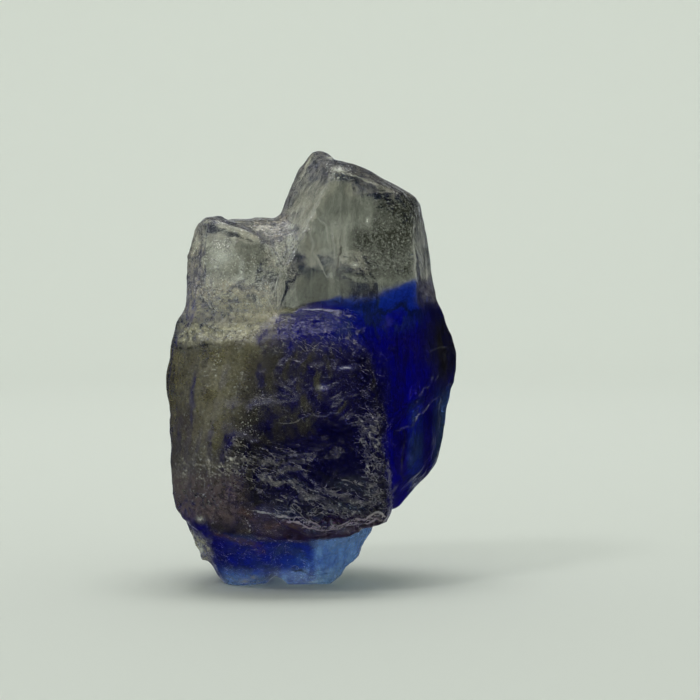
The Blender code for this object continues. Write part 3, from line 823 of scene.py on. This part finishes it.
def stone_colour(build, place, upright_place):
    """The body colours, then what lies on the surface, including painted highlights, painted
    reflections and painted shade lines.

    Gives the colour, the share that isn't see-through, the growth lines and the fine speckle.
    """
    speckle = build.noise(place, 3.6, 6.0, 0.68)
    pepper = build.noise(place, 7.0, 5.0, 0.7)
    growth = build.noise(upright_place, 1.0, 4.0, 0.6)
    grit = build.noise(place, 8.0, 3.0, 0.7, 0.4)
    colour = body_colour(build, place, growth)
    # The grit shows less in the clear top.
    swing = build.math("MULTIPLY_ADD", build.mask("clear"), -0.45, 0.8)
    least = build.math("MULTIPLY_ADD", build.mask("clear"), 0.28, 0.55)
    level = build.math("MULTIPLY_ADD", build.ramp(grit, 0.36, 0.64), swing, least)
    colour = build.scaled(colour, level)

    tubes = build.both(build.lines(upright_place, 0.9, 0.016, 2.0), build.mask("clear"))
    colour = build.mix(build.both(tubes, 0.55), colour, SPECK)
    speck = build.spread_mask("speck", pepper, 0.43, 0.5)
    colour = build.mix(speck, colour, SPECK)
    # Dark cracks and dots of the stone, and painted shade lines under the facet edges.
    wiggle = build.math("MULTIPLY_ADD", pepper, 0.24, -0.12)
    thread = build.thin_line(build.mask("dark_side"), wiggle, 0.0, 0.07)
    cracks_and_edge_shade = build.both(build.mask("dark"), thread)
    cracks_and_edge_shade = build.either(cracks_and_edge_shade, build.ramp(build.mask("dots"), 0.35, 0.75))
    facet_edge_side = build.mask("facet_edge_side")
    # Each facet edge has a painted dark line of shade under it, which is fainter in the clear top.
    under = build.both(build.mask("facet_edge_highlight"), build.thin_line(facet_edge_side, wiggle, 0.1, 0.09))
    faint = build.math("MULTIPLY_ADD", build.mask("clear"), -0.4, 0.7)
    cracks_and_edge_shade = build.either(cracks_and_edge_shade, build.both(under, faint))
    colour = build.mix(cracks_and_edge_shade, colour, SPECK)
    stain = build.spread_mask("stain", speckle, 0.3, 0.6)
    colour = build.mix(stain, colour, PURPLE_BROWN)
    # A whitish veil, partly painted light.
    veil_and_highlight = build.spread_mask("veil_and_highlight", speckle, 0.25, 0.7)
    colour = build.mix(veil_and_highlight, colour, VEIL_AND_HIGHLIGHT)
    rust = build.spread_mask("rust", pepper, 0.4, 0.55)
    colour = build.mix(rust, colour, RUST)

    haze = build.spread_mask("murk", speckle, 0.2, 0.75)
    colour = build.mix(build.both(haze, 0.6), colour, HAZE)
    crust = build.spread_mask("crust", speckle, 0.38, 0.58)
    small = build.both(build.ramp(pepper, 0.4, 0.65), 0.6)
    grains = build.either(build.ramp(grit, 0.46, 0.6), small)
    colour = build.mix(crust, colour, build.mix(grains, CRUST, CRUST_LIGHT))
    frost, folded, fine = frost_share(build, place)
    dust = build.mix(build.mask("smoky"), FROST, FROST_WARM)
    shine = build.math("MULTIPLY_ADD", folded, 0.6, build.ramp(pepper, 0.48, 0.7))
    shine = build.both(shine, build.math("MULTIPLY_ADD", build.ramp(grit, 0.42, 0.6), 0.85, 0.3))
    colour = build.mix(frost, colour, build.mix(shine, dust, FROST_LIGHT))
    # Painted highlights along facet edges, pinkish along the lip.
    facet_edge_highlight = build.both(build.mask("facet_edge_highlight"), build.thin_line(facet_edge_side, wiggle, 0.0, 0.06))
    facet_edge_highlight = build.both(facet_edge_highlight, build.ramp(build.noise(place, 2.5, 3.0, 0.6), 0.36, 0.52))
    colour = build.mix(facet_edge_highlight, colour, build.mix(build.mask("plum"), EDGE_HIGHLIGHT, LIP_HIGHLIGHT_PINK))
    # A milky sky-blue layer, partly painted backlight.
    bands = build.math("MULTIPLY_ADD", build.ramp(growth, 0.75, 0.35), 0.4, 0.6)
    milk_and_backlight = build.both(build.mask("milk_and_backlight"), bands)
    colour = build.mix(build.both(milk_and_backlight, 0.7), colour, SKY)
    # Painted highlights: sparkling dots and bright spots.
    dots = build.spread_mask("sparkle", build.noise(place, 10.0, 2.0, 0.5), 0.615, 0.67)
    glint = build.either(build.spread_mask("glint", pepper, 0.34, 0.52), dots)
    # Painted reflections: crinkled bright lines.
    reflection_wrinkle = build.either(build.folds(place, -35.0, 1.0, 2.4, 13.0, 0.2),
                           build.folds(place, 40.0, 1.0, 2.6, 10.0, 0.16))
    reflection_wrinkle = build.both(reflection_wrinkle, build.spread_mask("crinkle_reflection", grit, 0.35, 0.6))
    glint = build.either(glint, reflection_wrinkle)
    colour = build.mix(glint, colour, GLINT)

    # What lies on the surface hides the glass by its own share, and so do the painted highlights
    # and painted light laid over it.
    solid = build.both(frost, 0.85)
    covers = (
        (crust, 0.6), (facet_edge_highlight, 0.6), (stain, 0.6), (veil_and_highlight, 0.6),
        (haze, 0.28), (milk_and_backlight, 0.6), (glint, 0.8),
    )
    for cover, share in covers:
        solid = build.either(solid, build.both(cover, share))
    return colour, solid, growth, build.math("MULTIPLY_ADD", fine, 0.25, speckle)


def stone_material():
    material = bpy.data.materials.new("tanzanite_crystal")
    material.use_nodes = True
    build = Nodes(material)
    shader = build.shader
    object_place = build.add("ShaderNodeTexCoord").outputs["Object"]
    place = build.stretched(object_place, (1000.0, 1000.0, 1000.0))
    upright_place = build.stretched(object_place, (3200.0, 3200.0, 260.0))
    colour, solid, growth, speckle = stone_colour(build, place, upright_place)
    build.join(colour, shader.inputs["Base Color"])
    build.join(build.math("SUBTRACT", 1.0, solid, clamp=True), shader.inputs["Transmission Weight"])

    cloudy = build.math("MULTIPLY_ADD", build.mask("smoky"), 0.2, -0.07)
    cloudy = build.math("MULTIPLY_ADD", build.mask("dusk"), -0.12, cloudy)
    cloudy = build.math("MULTIPLY_ADD", build.mask("frost"), 0.35, cloudy)
    rough = build.math("MULTIPLY_ADD", speckle, 0.2, cloudy)
    rough = build.math("MULTIPLY_ADD", solid, 0.4, rough, clamp=True)
    build.join(rough, shader.inputs["Roughness"])
    shader.inputs["IOR"].default_value = IOR

    fine = build.both(build.noise(place, 6.0, 6.0, 0.62), build.mask("broken"))
    height = build.math("MULTIPLY_ADD", growth, 0.5, fine)
    frosted = build.both(build.mask("frost"), build.noise(place, 6.0, 4.0, 0.7))
    height = build.math("MULTIPLY_ADD", frosted, 0.9, height)
    cells = build.add("ShaderNodeTexVoronoi", distance="MANHATTAN")
    build.join(place, cells.inputs["Vector"])
    cells.inputs["Scale"].default_value = 1.7
    cells.inputs["Detail"].default_value = 2.0
    chips = build.both(build.mask("chips"), cells.outputs["Distance"])
    height = build.math("MULTIPLY_ADD", chips, 1.6, height)
    step = build.both(build.mask("facet_edge_highlight"), build.ramp(build.mask("facet_edge_side"), 0.44, 0.56))
    height = build.math("MULTIPLY_ADD", step, 1.2, height)
    bump = build.add("ShaderNodeBump")
    bump.inputs["Strength"].default_value = BUMP_STRENGTH
    bump.inputs["Distance"].default_value = BUMP_DISTANCE
    build.join(height, bump.inputs["Height"])
    build.join(bump.outputs["Normal"], shader.inputs["Normal"])

    haze = build.add("ShaderNodeVolumeAbsorption")
    haze.inputs["Color"].default_value = ABSORPTION
    haze.inputs["Density"].default_value = ABSORPTION_DENSITY
    output = build.tree.nodes["Material Output"]
    build.join(haze.outputs["Volume"], output.inputs["Volume"])
    return material


def plain_material(name, colour, roughness):
    material = bpy.data.materials.new(name)
    material.use_nodes = True
    shader = material.node_tree.nodes["Principled BSDF"]
    shader.inputs["Base Color"].default_value = colour
    shader.inputs["Roughness"].default_value = roughness
    return material


def build_sweep():
    """A pale round floor whose rim curves up into a wall on all sides."""
    mesh = bpy.data.meshes.new("floor")
    shape = bmesh.new()
    profile = [(0.0, 0.0), (0.5 * FLOOR_RADIUS, 0.0), (FLOOR_RADIUS, 0.0)]
    for step in range(1, CURVE_STEPS + 1):
        turn = math.radians(90.0 * step / CURVE_STEPS)
        rise = CURVE_RADIUS * (1.0 - math.cos(turn))
        profile.append((FLOOR_RADIUS + CURVE_RADIUS * math.sin(turn), rise))
    profile.append((FLOOR_RADIUS + CURVE_RADIUS, WALL_HEIGHT))
    vertices = [shape.verts.new((radius, 0.0, height)) for radius, height in profile]
    edges = [shape.edges.new(pair) for pair in zip(vertices, vertices[1:])]
    bmesh.ops.spin(
        shape,
        geom=vertices + edges,
        cent=(0.0, 0.0, 0.0),
        axis=(0.0, 0.0, 1.0),
        angle=2.0 * math.pi,
        steps=SPIN_STEPS,
        use_merge=True,
    )
    bmesh.ops.remove_doubles(shape, verts=shape.verts, dist=1e-5)
    bmesh.ops.recalc_face_normals(shape, faces=shape.faces)
    shape.to_mesh(mesh)
    shape.free()
    mesh.polygons.foreach_set("use_smooth", [True] * len(mesh.polygons))
    mesh.materials.append(plain_material("pale_sweep", (0.75, 0.78, 0.73, 1.0), 0.9))
    floor = bpy.data.objects.new("floor", mesh)
    floor.location.z = -FLOOR_DROP
    floor.visible_glossy = False
    bpy.context.scene.collection.objects.link(floor)
    return floor


def build_cards():
    """Black cards all round but straight behind. Only mirror-like reflections see them."""
    mesh = bpy.data.meshes.new("cards")
    shape = bmesh.new()
    bmesh.ops.create_uvsphere(shape, u_segments=32, v_segments=16, radius=CARD_RADIUS)
    behind = [entry for entry in shape.faces if entry.calc_center_median().y > OPEN_BEHIND]
    bmesh.ops.delete(shape, geom=behind, context="FACES")
    shape.to_mesh(mesh)
    shape.free()
    mesh.materials.append(plain_material("black_card", (0.006, 0.006, 0.006, 1.0), 1.0))
    cards = bpy.data.objects.new("cards", mesh)
    bpy.context.scene.collection.objects.link(cards)
    cards.visible_camera = False
    cards.visible_diffuse = False
    cards.visible_transmission = False
    cards.visible_volume_scatter = False
    cards.visible_shadow = False
    return cards


def aim(obj, target):
    direction = Vector(target) - obj.location
    obj.rotation_euler = direction.to_track_quat("-Z", "Y").to_euler()


def area_light(name, place, target, size, watts):
    light = bpy.data.lights.new(name, "AREA")
    light.energy = watts
    light.size = size
    obj = bpy.data.objects.new(name, light)
    obj.location = place
    bpy.context.scene.collection.objects.link(obj)
    aim(obj, target)
    return obj


def build_light():
    world = bpy.data.worlds.new("studio")
    world.use_nodes = True
    background = world.node_tree.nodes["Background"]
    background.inputs["Color"].default_value = (0.96, 1.0, 0.97, 1.0)
    background.inputs["Strength"].default_value = 0.5
    bpy.context.scene.world = world
    area_light("back_wash", (0.0, 0.05, 0.34), (0.0, 0.34, 0.06), 0.2, 0.55)
    area_light("key", (-0.12, -0.12, 0.2), (0.0, 0.0, 0.01), 0.04, 0.07)
    area_light("soft_top", (0.0, -0.03, 0.27), (0.0, 0.0, 0.01), 0.1, 0.015)
    area_light("soft_front", (-0.09, -0.12, 0.2), (0.0, 0.0, 0.01), 0.15, 0.014)


def build_camera():
    data = bpy.data.cameras.new("camera")
    data.lens = LENS
    data.sensor_width = SENSOR_WIDTH
    data.clip_start = 0.001
    data.clip_end = 10.0
    camera = bpy.data.objects.new("camera", data)
    distance = PICTURE_WIDTH * MM * LENS / SENSOR_WIDTH
    tilt = math.radians(CAMERA_TILT)
    target = Vector((PICTURE_CENTRE[0] * MM, 0.0, PICTURE_CENTRE[1] * MM))
    camera.location = target + distance * Vector((0.0, -math.cos(tilt), math.sin(tilt)))
    aim(camera, target)
    bpy.context.scene.collection.objects.link(camera)
    bpy.context.scene.camera = camera


def main():
    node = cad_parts["tanzanite"]
    stone = build_stone(node)
    stone.data.materials.append(stone_material())
    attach(stone, "root")
    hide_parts("tanzanite")
    build_sweep()
    build_cards()
    build_light()
    build_camera()
    bpy.context.scene.view_settings.view_transform = "Standard"


main()
